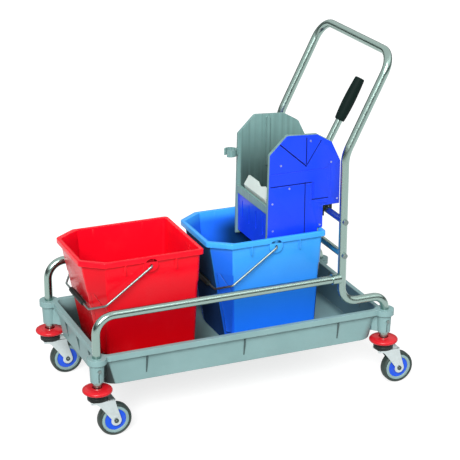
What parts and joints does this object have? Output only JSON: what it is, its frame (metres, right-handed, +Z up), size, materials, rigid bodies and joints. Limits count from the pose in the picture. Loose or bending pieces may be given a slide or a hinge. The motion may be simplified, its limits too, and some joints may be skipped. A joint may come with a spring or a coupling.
{
  "type": "double-bucket mop trolley",
  "caption": "Tubular mop trolley on swivel casters with a red and a blue bucket in a grey tray and a lever press wringer.",
  "frame": {"origin": "on the floor, under the middle of the overall box", "axes": "+Z up, +X from the front bucket towards the push handle, -Y to the left of the user behind the handle"},
  "size_m": [0.847, 0.432, 0.8408],
  "materials": {
    "tray_plastic": "moulded, satin",
    "polished_tube": "polished stainless tube",
    "plated_steel": "zinc plated",
    "bumper_plastic": "moulded, gloss",
    "black_plastic": "moulded, matt",
    "tyre_rubber": "rubber, matt",
    "ring_plastic": "moulded, satin",
    "hub_plastic": "moulded, satin",
    "red_plastic": "moulded, gloss",
    "blue_plastic": "moulded, gloss",
    "cheek_plastic": "moulded, satin",
    "cover_plastic": "moulded, satin gloss",
    "jaw_plastic": "moulded, satin",
    "gear_steel": "machined",
    "bush_brass": "turned"
  },
  "bodies": {
    "trolley": {"base_tray": "tray_plastic", "side_rail_left": "polished_tube", "side_rail_right": "polished_tube", "rail_collars": "plated_steel", "handle_frame": "polished_tube", "crossbar_upper": "polished_tube", "crossbar_lower": "polished_tube", "crossbar_bolts": "plated_steel", "socket_screws": "plated_steel", "bumper_discs": "bumper_plastic", "swivel_housings": "black_plastic", "caster_stems": "plated_steel"},
    "caster_front_left": {"caster_front_left_fork": "plated_steel", "caster_front_left_axle": "plated_steel"},
    "wheel_front_left": {"caster_front_left_tyre": "tyre_rubber", "caster_front_left_ring": "ring_plastic", "caster_front_left_hub": "hub_plastic"},
    "caster_front_right": {"caster_front_right_fork": "plated_steel", "caster_front_right_axle": "plated_steel"},
    "wheel_front_right": {"caster_front_right_tyre": "tyre_rubber", "caster_front_right_ring": "ring_plastic", "caster_front_right_hub": "hub_plastic"},
    "caster_rear_left": {"caster_rear_left_fork": "plated_steel", "caster_rear_left_axle": "plated_steel"},
    "wheel_rear_left": {"caster_rear_left_tyre": "tyre_rubber", "caster_rear_left_ring": "ring_plastic", "caster_rear_left_hub": "hub_plastic"},
    "caster_rear_right": {"caster_rear_right_fork": "plated_steel", "caster_rear_right_axle": "plated_steel"},
    "wheel_rear_right": {"caster_rear_right_tyre": "tyre_rubber", "caster_rear_right_ring": "ring_plastic", "caster_rear_right_hub": "hub_plastic"},
    "red_bucket": {"red_bucket": "red_plastic"},
    "red_bail": {"red_bail": "plated_steel"},
    "red_bail_grip": {"red_bail_grip": "black_plastic"},
    "blue_bucket": {"blue_bucket": "blue_plastic"},
    "blue_bail": {"blue_bail": "plated_steel"},
    "blue_bail_grip": {"blue_bail_grip": "black_plastic"},
    "wringer": {"left_cheek": "cheek_plastic", "right_cheek": "cheek_plastic", "left_cover": "cover_plastic", "right_cover": "cover_plastic", "left_cover_screws": "plated_steel", "right_cover_screws": "plated_steel", "tie_rods": "plated_steel", "front_bar": "cheek_plastic", "drain_panel": "cover_plastic", "drain_floor": "cheek_plastic", "squeeze_jaw": "jaw_plastic", "shaft_bushes": "bush_brass", "return_spring": "gear_steel", "bar_saddles": "black_plastic", "handle_clip": "cheek_plastic"},
    "press": {"press_plate": "cover_plastic", "racks": "gear_steel"},
    "lever": {"lever": "polished_tube", "lever_grip": "black_plastic", "pinions": "gear_steel", "drive_shaft": "gear_steel"}
  },
  "joints": [
    {"name": "swivel_front_left", "type": "hinge", "parent": "trolley", "child": "caster_front_left", "pos_m": [-0.3885, -0.181, 0.095], "axis": [0, 0, 1], "continuous": true},
    {"name": "roll_front_left", "type": "hinge", "parent": "caster_front_left", "child": "wheel_front_left", "pos_m": [-0.3495, -0.181, 0.04], "axis": [0, 1, 0], "continuous": true},
    {"name": "swivel_front_right", "type": "hinge", "parent": "trolley", "child": "caster_front_right", "pos_m": [-0.3885, 0.181, 0.095], "axis": [0, 0, 1], "continuous": true},
    {"name": "roll_front_right", "type": "hinge", "parent": "caster_front_right", "child": "wheel_front_right", "pos_m": [-0.3495, 0.181, 0.04], "axis": [0, 1, 0], "continuous": true},
    {"name": "swivel_rear_left", "type": "hinge", "parent": "trolley", "child": "caster_rear_left", "pos_m": [0.3445, -0.181, 0.095], "axis": [0, 0, 1], "continuous": true},
    {"name": "roll_rear_left", "type": "hinge", "parent": "caster_rear_left", "child": "wheel_rear_left", "pos_m": [0.3835, -0.181, 0.04], "axis": [0, 1, 0], "continuous": true},
    {"name": "swivel_rear_right", "type": "hinge", "parent": "trolley", "child": "caster_rear_right", "pos_m": [0.3445, 0.181, 0.095], "axis": [0, 0, 1], "continuous": true},
    {"name": "roll_rear_right", "type": "hinge", "parent": "caster_rear_right", "child": "wheel_rear_right", "pos_m": [0.3835, 0.181, 0.04], "axis": [0, 1, 0], "continuous": true},
    {"name": "red_bucket_lift", "type": "slide", "parent": "trolley", "child": "red_bucket", "axis": [0, 0, 1], "range_m": [0, 0.3]},
    {"name": "red_bail_swing", "type": "hinge", "parent": "red_bucket", "child": "red_bail", "pos_m": [-0.2309, 0, 0.377], "axis": [0, 1, 0], "range_deg": [0, 200]},
    {"name": "red_bail_grip_roll", "type": "hinge", "parent": "red_bail", "child": "red_bail_grip", "pos_m": [-0.3724, 0, 0.2766], "axis": [0, 1, 0], "continuous": true},
    {"name": "blue_bucket_lift", "type": "slide", "parent": "trolley", "child": "blue_bucket", "axis": [0, 0, 1], "range_m": [0, 0.3]},
    {"name": "blue_bail_swing", "type": "hinge", "parent": "blue_bucket", "child": "blue_bail", "pos_m": [0.0825, 0, 0.377], "axis": [0, 1, 0], "range_deg": [0, 108]},
    {"name": "blue_bail_grip_roll", "type": "hinge", "parent": "blue_bail", "child": "blue_bail_grip", "pos_m": [-0.059, 0, 0.2766], "axis": [0, 1, 0], "continuous": true},
    {"name": "wringer_lift", "type": "slide", "parent": "blue_bucket", "child": "wringer", "axis": [0, 0, 1], "range_m": [0, 0.12]},
    {"name": "lever_swing", "type": "hinge", "parent": "wringer", "child": "lever", "pos_m": [0.1972, 0, 0.52], "axis": [0, 1, 0], "range_deg": [0, 85], "stiffness_Nm_per_rad": 1.2, "springref_deg": -28.65},
    {"name": "press_slide", "type": "slide", "parent": "wringer", "child": "press", "axis": [-1, 0, 0], "range_m": [0, 0.0446]}
  ],
  "couplings": [
    {"joint": "press_slide", "follows": "lever_swing", "m_per_rad": 0.03}
  ]
}
